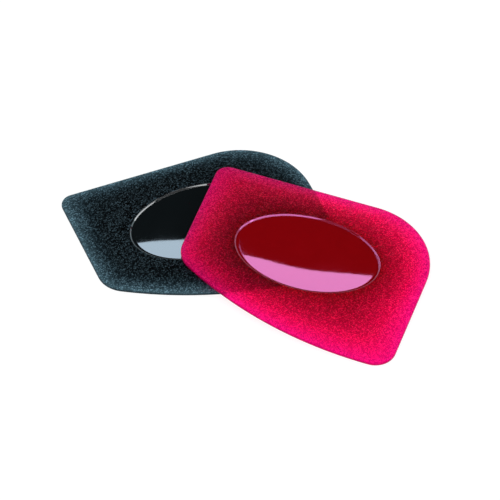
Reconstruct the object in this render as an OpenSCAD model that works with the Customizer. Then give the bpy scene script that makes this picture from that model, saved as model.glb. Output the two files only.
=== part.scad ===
// A pair of moulded pan scrapers, the red one lying across the black one.
// Millimetres, +Z up. The origin is on the table, under the middle of the black scraper's thumb oval,
// and X runs along its long straight side.

/* [Blade outline] */
// Distance between the two parallel straight sides
blade_l = 90; // [78:0.5:110]
// Length of the short side, measured to its sharp corners
short_side = 48.5; // [40:0.5:58]
// Length of the long side, measured to its sharp corners
long_side = 73; // [66:0.5:88]
// How far the slanting scraping side bows outwards at its middle
bow = 7.6; // [2:0.1:12]

/* [Corners] */
// Radius of the tightest corner, between the long straight side and the short side
corner_tight_r = 5; // [3:0.5:12]
// Radius of the corner between the short side and the bowed side
corner_medium_r = 11; // [6:0.5:18]
// Radius of the corner between the bowed side and the long side
corner_small_r = 8; // [5:0.5:16]
// Radius of the widest corner, for the sweep of a round pan
corner_wide_r = 28; // [12:0.5:38]

/* [Thickness] */
// Thickness of the thin edge that scrapes, the same all round
edge_t = 1.2; // [1:0.1:2]
// Thickness of the blade at the rim of the thumb oval
rim_t = 2.6; // [2.2:0.1:6]
// Rounding of the upper arris of the edge
upper_arris_r = 0.5; // [0.2:0.05:0.6]
// Rounding of the lower arris of the edge
lower_arris_r = 0.3; // [0.1:0.05:0.35]

/* [Thumb oval] */
// Length of the oval
oval_l = 55; // [40:0.5:60]
// Width of the oval
oval_w = 35.5; // [26:0.5:40]
// Distance from the long straight side to the middle of the oval
oval_from_side = 32; // [27:0.5:36]
// Depth of the oval's floor at its rim
oval_depth = 0.5; // [0.3:0.05:1]
// How much higher the domed floor is at its middle than at its edge
floor_dome = 0.4; // [0:0.05:0.6]
// How far the dome stays flat before it falls away to its edge
dome_power = 2.6; // [2:0.1:4]
// Draft of the oval's wall, in degrees from upright
oval_draft = 40; // [5:1:45]
// Rounding of the oval's rim
rim_r = 0.25; // [0.05:0.05:0.25]
// Width of the level land round the oval
land_w = 0.6; // [0.3:0.1:2]

/* [How the pair lies] */
// How far the red scraper's oval lies to the right of the black one's
pair_x = 29.2; // [20:0.1:45]
// How far it lies in front of it
pair_y = 31.6; // [20:0.1:40]
// How far the red scraper is turned clockwise
pair_turn = 40.8; // [0:0.1:90]
// Direction in which it slopes down to the table, clockwise from the right
lean_toward = 57; // [40:0.5:80]
// Gap between the two where they come closest
rest_gap = 0.2; // [0.1:0.05:1]

/* [Hidden] */

// Steps along the bowed side, the wide corner, each other corner and each straight side
bow_n = 22;
wide_n = 14;
corner_n = 8;
side_n = 11;
// Rings across the crowned face, the oval's floor, each rounding of the edge and the oval's rim
face_n = 10;
floor_n = 6;
round_n = 3;
rim_n = 2;
// Where the upper rounding ends, because the face goes on rising from there
round_end = 80;

// Depth of skin that is cut off below the back
spare_t = 0.3;

half_l = blade_l / 2;
long_side_y = oval_from_side;
short_end_y = long_side_y - short_side;
long_end_y = long_side_y - long_side;

// The bowed side is one arc between the lower ends of the short and the long side
bow_chord = norm([blade_l, short_end_y - long_end_y]);
bow_r = (bow_chord * bow_chord / 4 + bow * bow) / (2 * bow);
bow_inward = [short_end_y - long_end_y, blade_l] / bow_chord;
bow_c = [0, (short_end_y + long_end_y) / 2] + bow_inward * (bow_r - bow);

// Middle of a corner rounding of radius r that touches the bowed side and a straight side at x
function bow_corner(r, x) = [x, bow_c.y - sqrt(pow(bow_r - r, 2) - pow(x - bow_c.x, 2))];
medium_c = bow_corner(corner_medium_r, corner_medium_r - half_l);
small_c = bow_corner(corner_small_r, half_l - corner_small_r);
wide_c = [half_l - corner_wide_r, long_side_y - corner_wide_r];
tight_c = [corner_tight_r - half_l, long_side_y - corner_tight_r];

function bearing(from, to) = atan2(to.y - from.y, to.x - from.x);
function polar(c, r, a) = c + r * [cos(a), sin(a)];
function arc(c, r, a0, a1, n) = [for (i = [0:n]) polar(c, r, a0 + (a1 - a0) * i / n)];
// The points between the ends of a straight side, without its ends
function between(p, q, n) = [for (i = [1:n - 1]) p + (q - p) * i / n];

medium_a = bearing(bow_c, medium_c);
small_a = bearing(bow_c, small_c);

// The outline, counter-clockwise from the short side's lower corner
medium_arc = arc(medium_c, corner_medium_r, -180, medium_a, corner_n);
bow_arc = arc(bow_c, bow_r, medium_a, small_a, bow_n);
small_arc = arc(small_c, corner_small_r, small_a, 0, corner_n);
wide_arc = arc(wide_c, corner_wide_r, 0, 90, wide_n);
tight_arc = arc(tight_c, corner_tight_r, 90, 180, corner_n);
outline = concat(
    medium_arc,
    [for (i = [1:bow_n - 1]) bow_arc[i]],
    small_arc,
    between(small_arc[corner_n], wide_arc[0], side_n),
    wide_arc,
    between(wide_arc[wide_n], tight_arc[0], side_n),
    tight_arc,
    between(tight_arc[corner_n], medium_arc[0], side_n)
);
count = len(outline);

// Inward direction at each point of the outline, square to its neighbours
function inward_at(i) = let (t = outline[(i + 1) % count] - outline[(i + count - 1) % count])
    [-t.y, t.x] / norm(t);
inward = [for (i = [0:count - 1]) inward_at(i)];

// The point of an oval with these half axes that lies on the ray of outline point i
function on_oval(i, a, b) = let (s = atan2(outline[i].y / b, outline[i].x / a)) [a * cos(s), b * sin(s)];

// A ring is a list of points at one height
function lifted(points, z) = [for (p = points) [p.x, p.y, z]];
function inset_ring(d, z) = lifted([for (i = [0:count - 1]) outline[i] + inward[i] * d], z);
function oval_ring(a, b, z) = lifted([for (i = [0:count - 1]) on_oval(i, a, b)], z);

// The face starts at the edge's upper rounding and rises in a crown to a level land round the oval
face_start = upper_arris_r * (1 - cos(round_end));
face_start_z = edge_t - upper_arris_r * (1 - sin(round_end));
function crown(u) = face_start_z + (rim_t - face_start_z) * (1 - pow(1 - u, 2));
function face_point(i, u) = (outline[i] + inward[i] * face_start) * (1 - u)
    + on_oval(i, oval_l / 2 + land_w, oval_w / 2 + land_w) * u;
function face_ring(u) = lifted([for (i = [0:count - 1]) face_point(i, u)], crown(u));

// Rings round the thin edge and over the face to the land
round_step = 90 / round_n;
function lower_ring(a) = inset_ring(lower_arris_r * (1 - sin(a)), lower_arris_r * (1 - cos(a)));
function upper_ring(a) = inset_ring(upper_arris_r * (1 - cos(a)), edge_t - upper_arris_r * (1 - sin(a)));
lower_rings = [for (k = [1:round_n]) lower_ring(round_step * k)];
upper_rings = [for (k = [0:round_n - 1]) upper_ring(round_end * k / round_n)];
face_rings = [for (k = [0:face_n]) face_ring(k / face_n)];

// Rings over the oval's rounded rim, down its drafted wall and in over its domed floor
rim_end = 90 - oval_draft;
function rim_out(a) = rim_r * (1 - sin(a));
function rim_drop(a) = rim_r * (1 - cos(a));
function rim_ring(a) = oval_ring(oval_l / 2 + rim_out(a), oval_w / 2 + rim_out(a), rim_t - rim_drop(a));
wall_run = (oval_depth - rim_drop(rim_end)) * tan(oval_draft) - rim_out(rim_end);
function dome(v) = rim_t - oval_depth + floor_dome * (1 - pow(v, dome_power));
function floor_ring(v) = oval_ring((oval_l / 2 - wall_run) * v, (oval_w / 2 - wall_run) * v, dome(v));
rim_rings = [for (k = [0:rim_n]) rim_ring(rim_end * k / rim_n)];
floor_rings = [for (k = [0:floor_n - 1]) floor_ring(1 - k / floor_n)];

// The flat back's outline, and a ring below it that carries on the first step of the lower rounding
back_ring = lower_ring(0);
spare_inset = lower_arris_r + spare_t * sin(round_step) / (1 - cos(round_step));
spare_ring = inset_ring(spare_inset, -spare_t);

// A closed solid over a stack of rings, capped at both ends
module skin(rings) {
    last = len(rings) - 1;
    bottom = [for (i = [0:count - 1]) i];
    top = [for (i = [count - 1:-1:0]) last * count + i];
    sides = [for (k = [0:last - 1], i = [0:count - 1])
        let (a = k * count + i, b = k * count + (i + 1) % count)
        each [[a, a + count, b + count], [a, b + count, b]]];
    polyhedron(points = [for (r = rings) each r], faces = concat([bottom], sides, [top]), convexity = 6);
}

// One scraper, flat side down: the moulded skin, with its back cut off flat at the table
module scraper() {
    difference() {
        skin(concat([spare_ring], lower_rings, upper_rings, face_rings, rim_rings, floor_rings));
        translate([-blade_l, -blade_l, -2 * spare_t])
        cube([2 * blade_l, 2 * blade_l, 2 * spare_t]);
    }
}

// Where a point of the red scraper's plan comes to lie
function on_pair(p) = [pair_x + p.x * cos(pair_turn) + p.y * sin(pair_turn),
    -pair_y - p.x * sin(pair_turn) + p.y * cos(pair_turn)];
red_plan = [for (p = outline) on_pair(p)];
function is_left(p, a, b) = (b.x - a.x) * (p.y - a.y) - (b.y - a.y) * (p.x - a.x) > 0;
function under_red(p) = min([for (i = [0:count - 1])
    is_left(p, red_plan[i], red_plan[(i + 1) % count]) ? 1 : 0]) == 1;

// The red scraper slopes down to its toe on the table. Its slope is the least that
// keeps its flat underside clear of every point of the black one's face.
downhill = [cos(lean_toward), -sin(lean_toward)];
toe = max([for (p = back_ring) on_pair(p) * downhill]);
touching = [for (r = face_rings, p = r) if (under_red([p.x, p.y])) p];
lean = atan(max(concat([0], [for (p = touching)
    (p.z + rest_gap) / (toe - [p.x, p.y] * downhill)])));

module black_scraper() {
    color([0.10, 0.14, 0.16]) scraper();
}

module red_scraper() {
    foot = [downhill.x * toe, downhill.y * toe, 0];
    color([0.78, 0.04, 0.16])
    translate(foot)
    rotate(a = lean, v = [-downhill.y, downhill.x, 0])
    translate([pair_x, -pair_y, 0] - foot)
    rotate([0, 0, -pair_turn])
    scraper();
}

black_scraper();
red_scraper();
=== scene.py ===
import math

import bmesh
import bpy
from mathutils import Matrix, Vector


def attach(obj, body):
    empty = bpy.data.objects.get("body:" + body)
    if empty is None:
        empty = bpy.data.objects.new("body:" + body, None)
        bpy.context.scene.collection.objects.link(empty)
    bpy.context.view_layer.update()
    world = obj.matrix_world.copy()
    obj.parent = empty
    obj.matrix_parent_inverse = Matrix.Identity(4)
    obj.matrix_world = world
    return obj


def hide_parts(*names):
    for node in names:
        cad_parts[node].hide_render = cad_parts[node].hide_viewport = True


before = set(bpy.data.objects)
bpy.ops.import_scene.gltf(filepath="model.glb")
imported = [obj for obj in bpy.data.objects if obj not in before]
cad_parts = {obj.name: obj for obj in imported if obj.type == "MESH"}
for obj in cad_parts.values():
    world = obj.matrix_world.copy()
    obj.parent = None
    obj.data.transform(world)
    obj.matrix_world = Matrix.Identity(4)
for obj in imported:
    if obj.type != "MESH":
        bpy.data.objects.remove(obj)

# A blade is drawn in millimetres and then scaled. Everything else is in metres.
MM = 0.001

# The blade's outline. Its origin is under the middle of the thumb oval, and X runs along its long
# straight side.
BLADE_L = 90.0
SHORT_SIDE, LONG_SIDE = 48.5, 73.0
BOW = 7.6
TIGHT_R, MEDIUM_R, SMALL_R, WIDE_R = 5.0, 11.0, 8.0, 28.0
# Its thickness, and the roundings of its edge. The upper one ends early, where the face goes on rising.
EDGE_T, RIM_T = 1.2, 2.6
UPPER_R, LOWER_R = 0.5, 0.3
ROUND_END = math.radians(80)
# The thumb oval: its size, its domed floor, its drafted wall, the level land round it, and the
# roundings of its rim and of its wall's foot
OVAL_L, OVAL_W = 55.0, 35.5
OVAL_FROM_SIDE = 32.0
OVAL_DEPTH = 0.5
FLOOR_DOME = 0.4
DOME_POWER = 2.6
OVAL_DRAFT = math.radians(40)
LAND_W = 0.6
RIM_R = 0.25
FILLET_R = 0.12
# How the red scraper lies over the black one
PAIR_X, PAIR_Y = 29.2, 31.6
PAIR_TURN = math.radians(40.8)
LEAN_TOWARD = math.radians(57)

# Steps round the corners and the bowed side, and cuts along the three straight sides
MEDIUM_STEPS, BOW_STEPS, SMALL_STEPS, WIDE_STEPS, TIGHT_STEPS = 18, 72, 18, 40, 14
LONG_CUTS, TOP_CUTS, SHORT_CUTS = 29, 45, 25
# Rings down round the lower arris and in under the back
LOWER_RINGS, BACK_RINGS = 5, 6
# Rings up round the upper arris, over the face, round the rim, round the wall's foot and over the floor
UPPER_RINGS, FACE_RINGS, RIM_RINGS, FOOT_RINGS, FLOOR_RINGS = 7, 34, 6, 4, 24
# Width of the flat strip just inside the back's rounding, and of the one on which the polish sets in
BACK_STRIP, POLISH_STRIP = 0.5, 0.04

# The camera, turned about the vertical and raised above the table
CAMERA_TURN = math.radians(-21.98)
CAMERA_RISE = math.radians(47.14)
CAMERA_AIM = Vector((0.01201, -0.0182, 0.0))
CAMERA_DISTANCE = 2.0
CAMERA_LENS = 389.5
CAMERA_SENSOR = 36


def placed(name, data):
    """A new object in the scene, at the origin."""
    made = bpy.data.objects.new(name, data)
    bpy.context.scene.collection.objects.link(made)
    return made


def meshed(name, bm):
    """The finished shape as an object, with its edges and faces in the same order each time."""
    bm.verts.index_update()
    for parts in (bm.edges, bm.faces):
        in_order = sorted(parts, key=lambda part: sorted(v.index for v in part.verts))
        for i, part in enumerate(in_order):
            part.index = i
        parts.sort()
    mesh = bpy.data.meshes.new(name)
    bm.to_mesh(mesh)
    bm.free()
    return placed(name, mesh)


# The scrapers

def blade_outline():
    """The points of the blade's outline in order, counter-clockwise.

    The corners and the bowed side are spun on from one vertex, and the straight sides are divided.
    """
    bm = bmesh.new()
    half = BLADE_L / 2
    side_y = OVAL_FROM_SIDE
    low_left = Vector((-half, side_y - SHORT_SIDE, 0))
    low_right = Vector((half, side_y - LONG_SIDE, 0))
    chord = low_right - low_left
    bow_r = (chord.length ** 2 / 4 + BOW ** 2) / (2 * BOW)
    inward = Vector((-chord.y, chord.x, 0)) / chord.length
    bow_c = (low_left + low_right) / 2 + inward * (bow_r - BOW)

    def bow_corner(r, x):
        return Vector((x, bow_c.y - math.sqrt((bow_r - r) ** 2 - (x - bow_c.x) ** 2), 0))

    def bearing(point):
        return math.atan2(point.y - bow_c.y, point.x - bow_c.x)

    medium_c = bow_corner(MEDIUM_R, MEDIUM_R - half)
    small_c = bow_corner(SMALL_R, half - SMALL_R)
    wide_c = Vector((half - WIDE_R, side_y - WIDE_R, 0))
    tight_c = Vector((TIGHT_R - half, side_y - TIGHT_R, 0))
    medium_a, small_a = bearing(medium_c), bearing(small_c)

    def at(place):
        return min(bm.verts, key=lambda v: (v.co - place).length)

    def spun(vertex, centre, angle, steps):
        made = bmesh.ops.spin(bm, geom=[vertex], cent=centre, axis=(0, 0, 1), angle=angle,
                              steps=steps, use_duplicate=False)
        return [g for g in made["geom_last"] if isinstance(g, bmesh.types.BMVert)][0]

    def drawn(vertex, place, cuts):
        made = bmesh.ops.extrude_vert_indiv(bm, verts=[vertex])
        made["verts"][0].co = place
        bmesh.ops.subdivide_edges(bm, edges=made["edges"], cuts=cuts)
        return at(place)

    start = medium_c + Vector((-MEDIUM_R, 0, 0))
    last = spun(bm.verts.new(start), medium_c, medium_a + math.pi, MEDIUM_STEPS)
    last = spun(last, bow_c, small_a - medium_a, BOW_STEPS)
    last = spun(last, small_c, -small_a, SMALL_STEPS)
    last = drawn(last, wide_c + Vector((WIDE_R, 0, 0)), LONG_CUTS)
    last = spun(last, wide_c, math.pi / 2, WIDE_STEPS)
    last = drawn(last, tight_c + Vector((0, TIGHT_R, 0)), TOP_CUTS)
    last = spun(last, tight_c, math.pi / 2, TIGHT_STEPS)
    closing = bm.edges.new((last, at(start)))
    bmesh.ops.subdivide_edges(bm, edges=[closing], cuts=SHORT_CUTS)

    first = at(start)
    edge = min(first.link_edges, key=lambda e: e.other_vert(first).co.y)
    points, vertex = [first.co.copy()], edge.other_vert(first)
    while vertex != first:
        points.append(vertex.co.copy())
        edge = [e for e in vertex.link_edges if e != edge][0]
        vertex = edge.other_vert(vertex)
    bm.free()
    return points


def drop(radius, turn):
    """How far a rounding has fallen away from the face that it starts on."""
    return radius * (1 - math.cos(turn))


def reach(radius, turn):
    """How far it still has to go along that face's direction."""
    return radius * (1 - math.sin(turn))


def mould_blade(name):
    """One scraper, flat back down: a closed skin, drawn out ring by ring from its outline.

    Three marks guide its finish: across runs from the edge to the land, thumb is the polished oval,
    and side is the wall of the edge.
    """
    outline = blade_outline()
    bm = bmesh.new()
    number = bm.verts.layers.int.new("number")
    across = bm.verts.layers.float.new("across")
    thumb = bm.verts.layers.float.new("thumb")
    side = bm.verts.layers.float.new("side")
    inward = []
    for i in range(len(outline)):
        along = outline[(i + 1) % len(outline)] - outline[i - 1]
        inward.append(Vector((-along.y, along.x, 0)).normalized())

    def on_edge(i, inset, z):
        place = outline[i] + inward[i] * inset
        return Vector((place.x, place.y, z))

    def on_oval(i, out, share, z):
        a, b = (OVAL_L / 2 + out) * share, (OVAL_W / 2 + out) * share
        s = math.atan2(outline[i].y / b, outline[i].x / a)
        return Vector((a * math.cos(s), b * math.sin(s), z))

    def ring(edges, place, marks):
        """Draws the ring of edges out to a new ring, whose points get their places and marks."""
        made = bmesh.ops.extrude_edge_only(bm, edges=edges)
        points = [g for g in made["geom"] if isinstance(g, bmesh.types.BMVert)]
        for point in points:
            point.co = place(point[number])
            for layer, value in marks.items():
                point[layer] = value
        new = set(points)
        near = dict.fromkeys(e for p in points for e in p.link_edges)
        return [e for e in near if e.verts[0] in new and e.verts[1] in new]

    def edge_ring(edges, inset, z, marks):
        return ring(edges, lambda i: on_edge(i, inset, z), marks)

    def face_ring(edges, inset, z, u, marks):
        """A ring that lies u of the way from the edge to the land's outer line."""
        return ring(edges, lambda i: on_edge(i, inset, z).lerp(on_oval(i, LAND_W, 1, z), u), marks)

    def oval_ring(edges, out, share, z, marks):
        return ring(edges, lambda i: on_oval(i, out, share, z), marks)

    # The middle of the edge's wall
    loop = []
    for i in range(len(outline)):
        vertex = bm.verts.new(on_edge(i, 0, EDGE_T / 2))
        vertex[number], vertex[side] = i, 1
        loop.append(vertex)
    wall = [bm.edges.new(ends) for ends in zip(loop, loop[1:] + loop[:1])]

    # From there down round the lower arris and in under the flat back
    edges = wall
    for k in range(LOWER_RINGS + 1):
        turn = math.radians(90 - 90 / LOWER_RINGS * k)
        edges = edge_ring(edges, reach(LOWER_R, turn), drop(LOWER_R, turn), {side: 1 - k / LOWER_RINGS})
    back_in = LOWER_R + BACK_STRIP
    edges = edge_ring(edges, back_in, 0, {side: 0})
    for k in range(1, BACK_RINGS + 1):
        u = k / BACK_RINGS
        edges = face_ring(edges, back_in, 0, u, {across: u})
    bmesh.ops.edgeloop_fill(bm, edges=edges)

    # From the wall up round the upper arris and over the crowned face to the land
    edges = wall
    for k in range(UPPER_RINGS + 1):
        turn = ROUND_END * k / UPPER_RINGS
        edges = edge_ring(edges, drop(UPPER_R, turn), EDGE_T - reach(UPPER_R, turn),
                          {side: 1 - k / UPPER_RINGS, across: 0})
    face_in = drop(UPPER_R, ROUND_END)
    face_z = EDGE_T - reach(UPPER_R, ROUND_END)
    for k in range(1, FACE_RINGS + 1):
        u = k / FACE_RINGS
        crown = face_z + (RIM_T - face_z) * (1 - (1 - u) ** 2)
        edges = face_ring(edges, face_in, crown, u, {side: 0, across: u})

    # Over the rim, down the drafted wall, round its foot and in over the domed floor
    rim_end = math.pi / 2 - OVAL_DRAFT
    edges = oval_ring(edges, RIM_R + POLISH_STRIP, 1, RIM_T, {})
    for k in range(RIM_RINGS + 1):
        turn = rim_end * k / RIM_RINGS
        edges = oval_ring(edges, reach(RIM_R, turn), 1, RIM_T - drop(RIM_R, turn), {thumb: 1})
    wall_run = (OVAL_DEPTH - drop(RIM_R, rim_end)) * math.tan(OVAL_DRAFT) - reach(RIM_R, rim_end)
    floor_z = RIM_T - OVAL_DEPTH
    foot = -wall_run - FILLET_R * math.tan(rim_end / 2)
    for k in range(FOOT_RINGS + 1):
        turn = rim_end * (1 - k / FOOT_RINGS)
        edges = oval_ring(edges, foot + FILLET_R * math.sin(turn), 1, floor_z + drop(FILLET_R, turn), {})
    for k in range(1, FLOOR_RINGS):
        share = 1 - k / FLOOR_RINGS
        dome = floor_z + FLOOR_DOME * (1 - share ** DOME_POWER)
        edges = oval_ring(edges, foot, share, dome, {})
    bmesh.ops.edgeloop_fill(bm, edges=edges)

    bmesh.ops.recalc_face_normals(bm, faces=bm.faces)
    bmesh.ops.triangulate(bm, faces=[f for f in bm.faces if len(f.verts) > 4])
    bm.verts.layers.int.remove(number)
    bmesh.ops.scale(bm, vec=(MM, MM, MM), verts=bm.verts)
    for face in bm.faces:
        face.smooth = True
    return meshed(name, bm)


def red_place():
    """Where the red scraper lies. Its slope and its toe on the table are read from its solid."""
    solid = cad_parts["red_scraper"].data
    downhill = Vector((math.cos(LEAN_TOWARD), -math.sin(LEAN_TOWARD), 0))
    back = max(solid.polygons, key=lambda p: p.area).normal
    lean = back.angle(Vector((0, 0, -1)))
    on_table = 0.02 * MM
    toe = [v.co for v in solid.vertices if v.co.z < on_table]
    foot = downhill * max(co.dot(downhill) for co in toe)
    slope = Matrix.Rotation(lean, 4, Vector((-downhill.y, downhill.x, 0)))
    turn = Matrix.Rotation(-PAIR_TURN, 4, "Z")
    middle = Vector((PAIR_X * MM, -PAIR_Y * MM, 0))
    return Matrix.Translation(foot) @ slope @ Matrix.Translation(middle - foot) @ turn


# Finishes

class Varying:
    """A value that varies over a surface, so that a finish can be written as a sum."""

    def __init__(self, finish, socket):
        self.finish, self.socket = finish, socket

    def sum(self, operation, a, b):
        return self.finish.node("ShaderNodeMath", {"operation": operation}, {0: a, 1: b})

    def __add__(self, other):
        return self.sum("ADD", self, other)

    def __sub__(self, other):
        return self.sum("SUBTRACT", self, other)

    def __rsub__(self, other):
        return self.sum("SUBTRACT", other, self)

    def __mul__(self, other):
        return self.sum("MULTIPLY", self, other)

    def __pow__(self, other):
        return self.sum("POWER", self, other)

    __radd__ = __add__
    __rmul__ = __mul__


class Finish:
    """The nodes of one material, or of the studio round the object."""

    def __init__(self, owner):
        owner.use_nodes = True
        self.tree = owner.node_tree
        self.tree.nodes.clear()

    def node(self, kind, settings, sockets, out=0):
        """A node of that kind: its settings come first, then its sockets' values and links."""
        made = self.tree.nodes.new(kind)
        for name, value in settings.items():
            if name == "stops":
                stops = made.color_ramp.elements
                while len(stops) < len(value):
                    stops.new(1)
                for stop, (position, colour) in zip(stops, value):
                    stop.position, stop.color = position, (*colour, 1)
            else:
                setattr(made, name, value)
        for name, value in sockets.items():
            if isinstance(value, Varying):
                self.tree.links.new(value.socket, made.inputs[name])
            else:
                made.inputs[name].default_value = value
        return Varying(self, made.outputs[out]) if made.outputs else None

    def mark(self, name):
        return self.node("ShaderNodeAttribute", {"attribute_name": name}, {}, "Fac")

    def noise(self, place, sockets, out=0):
        return self.node("ShaderNodeTexNoise", {}, {"Vector": place, **sockets}, out)

    def vector(self, operation, sockets):
        return self.node("ShaderNodeVectorMath", {"operation": operation}, sockets)

    def shaded(self, colour, amount):
        return self.vector("SCALE", {0: colour, "Scale": amount})

    def mixed(self, factor, a, b):
        return self.node("ShaderNodeMix", {"data_type": "RGBA"}, {0: factor, 6: a, 7: b}, 2)

    def light_path(self, ray):
        return self.node("ShaderNodeLightPath", {}, {}, ray)

    def shader_mix(self, factor, a, b):
        return self.node("ShaderNodeMixShader", {}, {0: factor, 1: a, 2: b})


def grey(value):
    return (value, value, value, 1)


# What a metre of each pattern holds: pebbles of the grain, its facets, which tilt it and carry its
# painted glints, fine specks, the waves that draw the cells out of line, soft clouds in the body colour,
# and wipe marks on the polish
PEBBLES, FACETS, SPECKS, WAVES, CLOUDS, WIPES = 1500.0, 2700.0, 2100.0, 900.0, 70.0, 160.0
# How far the waves draw a cell, and how high the grain stands, in metres
WAVE_REACH = 0.0002
GRAIN_HEIGHT = 0.0002
# The pebbles' share of that height, which the specks make up to 1
PEBBLE_SHARE, SPECK_SHARE = 0.65, 0.35
# How much of the grain, and of its painted glints, is rubbed off the wall of the edge
RUBBED_OFF = 0.6
# How far a cloud moves the body colour inwards or outwards, and lightens or darkens it
CLOUD_DRIFT, CLOUD_SHADE = 0.06, 0.12
SPECK_ROUGHNESS = 0.2
# The polish of the oval: its shading and roughness where wiped, and its faint ripple
WIPE_SHADE = 0.2
POLISH_ROUGHNESS, WIPE_ROUGHNESS = 0.01, 0.04
RIPPLE = 0.04


def moulded_plastic(name, look, stops, glint_colour, thumb_colour, grain, polish):
    """Fine pebble grain on the blade, and a polished thumb oval.

    look says how strong the grain is: bump is its height and facet the tilt of its facets. contrast
    is how much lighter the painted glints on the facets are than the body, and glints is how much
    they take their own colour, on the land and, with edge_ before the name, at the edge. sparseness
    makes them rarer, rough is the roughness, and shaded_wall_share is what is left of the colour on
    the wall of the edge, darkened there as painted shade.
    stops give the body colour from the edge to the land. What is lighter towards the edge is partly
    painted sheen and painted light.
    """
    material = bpy.data.materials.new(name)
    f = Finish(material)
    place = f.node("ShaderNodeTexCoord", {}, {}, "Object")
    across, thumb, side = f.mark("across"), f.mark("thumb"), f.mark("side")
    waves = f.noise(place, {"Scale": WAVES, "Detail": 1.0}, "Color")
    drawn = f.vector("MULTIPLY_ADD", {0: waves, 1: (WAVE_REACH, WAVE_REACH, WAVE_REACH), 2: place})
    pebble = f.node("ShaderNodeTexVoronoi", {"feature": "SMOOTH_F1"},
                    {"Vector": drawn, "Scale": PEBBLES, "Smoothness": 0.3})
    facet = f.node("ShaderNodeTexVoronoi", {}, {"Vector": drawn, "Scale": FACETS}, "Color")
    spark = f.node("ShaderNodeSeparateColor", {}, {0: facet}, 0)
    speck = f.noise(place, {"Scale": SPECKS, "Detail": 2.0, "Roughness": 0.6})
    cloud = f.noise(place, {"Scale": CLOUDS, "Detail": 3.0})
    wipe = f.noise(place, {"Scale": WIPES, "Detail": 4.0, "Distortion": 0.6})

    kept = 1 - RUBBED_OFF * side
    height = kept * (PEBBLE_SHARE * (1 - pebble) + SPECK_SHARE * speck)
    bumped = f.node("ShaderNodeBump", {},
                    {"Strength": look["bump"], "Distance": GRAIN_HEIGHT, "Height": height})
    tilt = f.vector("SUBTRACT", {0: facet, 1: (0.5, 0.5, 0.5)})
    tilted = f.vector("ADD", {0: bumped, 1: f.shaded(tilt, kept * look["facet"])})
    normal = f.vector("NORMALIZE", {0: tilted})

    def from_edge(quality):
        """A quality of the look that changes from the edge to the land."""
        at_edge = look["edge_" + quality]
        return at_edge + (look[quality] - at_edge) * across

    # The body colour from the edge to the land. Its stops put painted sheen, and on the red painted
    # light, towards the edge
    body = f.node("ShaderNodeValToRGB", {"stops": stops},
                  {"Fac": across + CLOUD_DRIFT * cloud - CLOUD_DRIFT / 2})
    # Lighter flecks on the facets, in their own colour: painted glints of the grain, not real specks of
    # colour
    flecks = spark ** look["sparseness"]
    mean_glint = 1 / (look["sparseness"] + 1)
    contrast = kept * from_edge("contrast")
    body = f.shaded(body, 1 + contrast * (flecks - mean_glint) + CLOUD_SHADE * (cloud - 0.5))
    body = f.mixed(kept * from_edge("flecks") * flecks, body, (*glint_colour, 1))
    # Painted shade on the wall of the edge: its colour is darkened there
    body = f.shaded(body, 1 - side * (1 - look["shaded_wall_share"]))
    rough = look["rough"] + SPECK_ROUGHNESS * (speck - 0.5)
    grained = f.node("ShaderNodeBsdfPrincipled", {},
                     {"Base Color": body, "Roughness": rough, "Normal": normal, **grain}, "BSDF")

    gloss = f.shaded(thumb_colour, 1 - WIPE_SHADE / 2 + WIPE_SHADE * wipe)
    ripple = f.node("ShaderNodeBump", {},
                    {"Strength": RIPPLE, "Distance": GRAIN_HEIGHT, "Height": cloud})
    polished = f.node("ShaderNodeBsdfPrincipled", {},
                      {"Base Color": gloss, "Roughness": POLISH_ROUGHNESS + WIPE_ROUGHNESS * wipe,
                       "Normal": ripple, **polish}, "BSDF")
    f.node("ShaderNodeOutputMaterial", {}, {"Surface": f.shader_mix(thumb, grained, polished)})
    return material


# The studio

# The floor: half its width in metres, how far it lies below the table's level, its tone for the light
# that it gives back, and the tone and glow that make it near white with a shadow
FLOOR_HALF = 4
FLOOR_BELOW = 0.05 * MM
FLOOR_TONE, SHADOW_TONE, FLOOR_GLOW = 0.8, 0.22, 0.83

# The pale sweep round the pair: where its light ends at the bottom and the top, how bright it is at
# each, and how much brighter on the far side
SWEEP_LOW, SWEEP_HIGH = math.radians(12), math.radians(39)
SWEEP_BRIGHT, SWEEP_DIM = 1.1, 0.02
SWEEP_FAR = 0.9
SWEEP_COLOUR = (0.74, 0.92, 1.0, 1)

# How far away the softboxes stand, and the watts that make a square metre as bright as white paper
SOFTBOX_DISTANCE = 3.0
SOFTBOX_WATTS = 4
SKY, WHITE, PALE, DAY = (0.66, 0.84, 1.0), (1.0, 1.0, 1.0), (0.90, 0.98, 1.0), (0.95, 0.98, 1.0)
# Each softbox has its turn and rise, its left, right, low and high edges, its brightness and its
# colour. The angles are in degrees.
SOFTBOXES = (
    ("far_left_box", 0, 52, (-11, -0.37, -3.1, 5.0), 5.2, SKY),
    ("far_right_box", 0, 52, (-0.35, 11, 0.2, 7.0), 5.2, WHITE),
    ("left_box", -42, 45, (-15, 15, -11, 11), 5.4, PALE),
    ("front_box", 175, 41, (-50, 50, -18, 20), 0.35, WHITE),
    ("front_strip", 175, 33, (-50, 50, -5, 7), 4.5, DAY),
    ("right_strip", 104, 21, (-30, 30, -7, 7), 4.0, DAY),
    ("left_strip", -104, 21, (-30, 30, -7, 7), 2.0, DAY))


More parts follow.
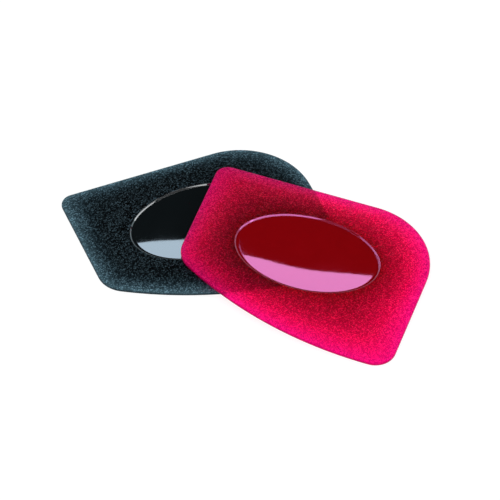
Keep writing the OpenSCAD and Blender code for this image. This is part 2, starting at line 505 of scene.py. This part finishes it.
def studio_floor():
    """A plain pale floor. What looks at it sees it near white, and it keeps the pair's shadow."""
    bm = bmesh.new()
    bmesh.ops.create_grid(bm, x_segments=1, y_segments=1, size=FLOOR_HALF)
    bmesh.ops.translate(bm, vec=(0, 0, -FLOOR_BELOW), verts=bm.verts)
    floor = meshed("floor", bm)
    material = bpy.data.materials.new("pale_floor")
    f = Finish(material)
    through = f.light_path("Is Transmission Ray")
    seen = f.light_path("Is Camera Ray") + f.light_path("Is Glossy Ray")
    matt = f.node("ShaderNodeBsdfDiffuse", {}, {"Color": grey(FLOOR_TONE)})
    shade = f.node("ShaderNodeBsdfDiffuse", {}, {"Color": grey(SHADOW_TONE)})
    glow = f.node("ShaderNodeEmission", {}, {"Color": grey(1), "Strength": FLOOR_GLOW})
    white = f.node("ShaderNodeAddShader", {}, {0: shade, 1: glow})
    lit = f.node("ShaderNodeEmission", {}, {"Color": grey(1), "Strength": 1.0})
    met = f.shader_mix(seen, matt, white)
    f.node("ShaderNodeOutputMaterial", {}, {"Surface": f.shader_mix(through, met, lit)})
    floor.data.materials.append(material)


def studio_world():
    """A pale sweep low round the object, dim above it, and white where it is looked at."""
    world = bpy.data.worlds.new("studio")
    bpy.context.scene.world = world
    f = Finish(world)
    way = f.node("ShaderNodeTexCoord", {}, {}, "Generated")
    x, y, rise = (f.node("ShaderNodeSeparateXYZ", {}, {0: way}, axis) for axis in "XYZ")
    far = -math.sin(CAMERA_TURN) * x + math.cos(CAMERA_TURN) * y
    sweep = f.node("ShaderNodeMapRange", {"interpolation_type": "SMOOTHSTEP"},
                   {0: rise, "From Min": math.sin(SWEEP_LOW), "From Max": math.sin(SWEEP_HIGH),
                    "To Min": SWEEP_BRIGHT, "To Max": SWEEP_DIM})
    seen = f.light_path("Is Camera Ray") + f.light_path("Is Transmission Ray")
    light = f.node("ShaderNodeBackground", {},
                   {"Color": SWEEP_COLOUR, "Strength": sweep * (1 + SWEEP_FAR * far)})
    white = f.node("ShaderNodeBackground", {}, {"Color": grey(1), "Strength": 1.0})
    f.node("ShaderNodeOutputWorld", {}, {"Surface": f.shader_mix(seen, light, white)})


def aimed(name, data, location, back):
    """A lamp or camera that stands there and looks away from back."""
    stand = placed(name, data)
    stand.location = location
    stand.rotation_mode = "QUATERNION"
    stand.rotation_quaternion = (-back).to_track_quat("-Z", "Y")
    return stand


def softbox(name, turn, rise, edges, brightness, colour):
    """A flat lamp on an upright wall of light that faces the pair.

    The wall's middle lies at that turn, to the right of the far side, and at that rise. The lamp's
    edges are angles on it, seen from the pair.
    """
    far = Vector((-math.sin(CAMERA_TURN), math.cos(CAMERA_TURN), 0))
    beside = Vector((math.cos(CAMERA_TURN), math.sin(CAMERA_TURN), 0))
    turn, rise = math.radians(turn), math.radians(rise)
    level = far * math.cos(turn) + beside * math.sin(turn)
    away = level * math.cos(rise) + Vector((0, 0, math.sin(rise)))
    across = beside * math.cos(turn) - far * math.sin(turn)
    up = across.cross(away)
    left, right, low, high = (SOFTBOX_DISTANCE * math.tan(math.radians(edge)) for edge in edges)
    lamp = bpy.data.lights.new(name, "AREA")
    lamp.shape = "RECTANGLE"
    lamp.size, lamp.size_y = right - left, high - low
    lamp.energy = SOFTBOX_WATTS * brightness * lamp.size * lamp.size_y
    lamp.color = colour
    middle = across * (left + right) / 2 + up * (low + high) / 2
    stand = aimed(name, lamp, CAMERA_AIM + away * SOFTBOX_DISTANCE + middle, away)
    stand.visible_camera = False


def camera():
    """A camera where the photograph's was, with the same frame."""
    level = math.cos(CAMERA_RISE)
    back = Vector((math.sin(CAMERA_TURN) * level, -math.cos(CAMERA_TURN) * level,
                   math.sin(CAMERA_RISE)))
    data = bpy.data.cameras.new("camera")
    data.sensor_width = CAMERA_SENSOR
    data.lens = CAMERA_LENS
    stand = aimed("camera", data, CAMERA_AIM + back * CAMERA_DISTANCE, back)
    bpy.context.scene.camera = stand


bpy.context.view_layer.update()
camera()
studio_floor()
studio_world()
for lamp_settings in SOFTBOXES:
    softbox(*lamp_settings)

black_finish = moulded_plastic(
    "black_grained_plastic",
    {"bump": 0.8, "facet": 0.45, "contrast": 6.0, "edge_contrast": 2.1,
     "flecks": 0.3, "edge_flecks": 0.2, "sparseness": 4, "rough": 0.4, "shaded_wall_share": 0.3},
    # The black body is lighter and bluer in a band at the edge: a painted sheen of the studio light on
    # the sloping edge
    [(0.0, (0.060, 0.108, 0.132)), (0.12, (0.031, 0.056, 0.070)), (0.3, (0.008, 0.016, 0.021)),
     (0.5, (0.003, 0.006, 0.008)), (1.0, (0.002, 0.004, 0.006))],
    # The colour of the painted glints on the black's grain, a pale slate blue
    glint_colour=(0.11, 0.15, 0.165),
    thumb_colour=(0.002, 0.003, 0.0035),
    grain={"IOR": 1.5, "Specular IOR Level": 0.005},
    polish={"IOR": 1.5, "Specular IOR Level": 1.0})
red_finish = moulded_plastic(
    "red_grained_plastic",
    {"bump": 0.8, "facet": 0.4, "contrast": 2.0, "edge_contrast": 1.4,
     "flecks": 0.04, "edge_flecks": 0.5, "sparseness": 3, "rough": 0.3, "shaded_wall_share": 0.45},
    # The red body is light and pinkish at the thin edge and deep red in the thick middle: partly the
    # plastic's own deeper tint where it is thicker, partly painted light shining through the thin edge,
    # a painted pink sheen, and painted shade in the thick middle
    [(0.0, (1.0, 0.003, 0.23)), (0.15, (1.0, 0.002, 0.15)), (0.35, (0.82, 0.001, 0.066)),
     (0.6, (0.54, 0.0004, 0.028)), (1.0, (0.28, 0.0001, 0.003))],
    # The colour of the painted glints on the red's grain, pink, and strongest at the edge
    glint_colour=(1.0, 0.025, 0.21),
    thumb_colour=(0.205, 0.0001, 0.0002),
    grain={"IOR": 1.15, "Transmission Weight": 0.68, "Specular IOR Level": 0.02,
           "Specular Tint": (1.0, 0.0, 0.24, 1.0)},
    polish={"IOR": 1.5, "Specular IOR Level": 1.0, "Specular Tint": (1.0, 0.33, 0.92, 1.0)})

black = mould_blade("black_moulding")
red = mould_blade("red_moulding")
red.data.transform(red_place())
for piece, solid, body, plastic, finish in (
        (black, "black_scraper", "black", "black_plastic", black_finish),
        (red, "red_scraper", "red", "red_plastic", red_finish)):
    piece.data.materials.append(finish)
    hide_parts(solid)
    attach(piece, body)

bpy.context.scene.view_settings.view_transform = "Standard"
